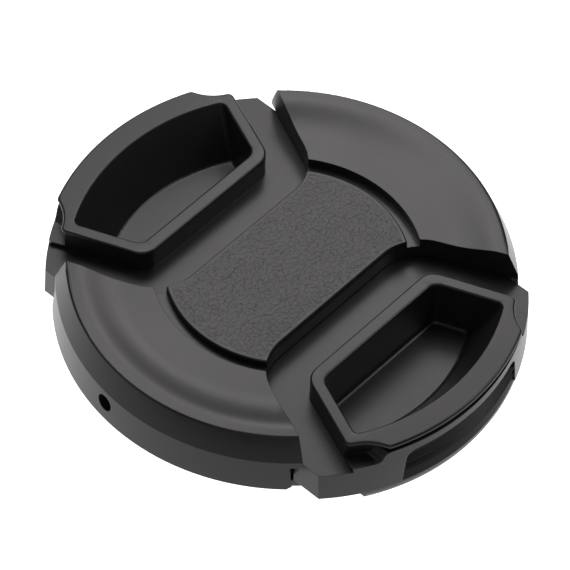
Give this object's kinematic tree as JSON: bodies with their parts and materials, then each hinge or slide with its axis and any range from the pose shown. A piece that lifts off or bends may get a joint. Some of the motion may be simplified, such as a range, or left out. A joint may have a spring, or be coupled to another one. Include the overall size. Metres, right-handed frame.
{
  "type": "camera lens cap",
  "caption": "Round clip-on lens cap with dished wings, a grained centre panel and sprung pinch latches with finger pockets and thread ridges.",
  "frame": {"origin": "middle of the cap's back face, which lies towards the lens", "axes": "+Z away from the lens through the front of the cap, +X along the pinch direction, +Y towards one wing"},
  "size_m": [0.0594, 0.0568, 0.0104],
  "materials": {
    "cover_plastic": "satin moulded black",
    "latch_plastic": "satin moulded black",
    "back_plastic": "matt moulded black",
    "panel_grain": "pebbled leather grain",
    "spring_steel": "drawn wire"
  },
  "bodies": {
    "shell": {"front_cover": "cover_plastic", "grip_panel": "panel_grain", "back_plate": "back_plastic", "spring_front": "spring_steel", "spring_back": "spring_steel"},
    "latch_right": {"pinch_latch_right": "latch_plastic"},
    "latch_left": {"pinch_latch_left": "latch_plastic"}
  },
  "joints": [
    {"name": "right_pinch", "type": "slide", "parent": "shell", "child": "latch_right", "axis": [-1, 0, 0], "range_m": [0, 0.002], "stiffness_N_per_m": 1000, "springref_m": -0.0015, "deforming": ["spring_front", "spring_back"]},
    {"name": "left_pinch", "type": "slide", "parent": "shell", "child": "latch_left", "axis": [1, 0, 0], "range_m": [0, 0.002], "stiffness_N_per_m": 1000, "springref_m": -0.0015, "deforming": ["spring_front", "spring_back"]}
  ]
}
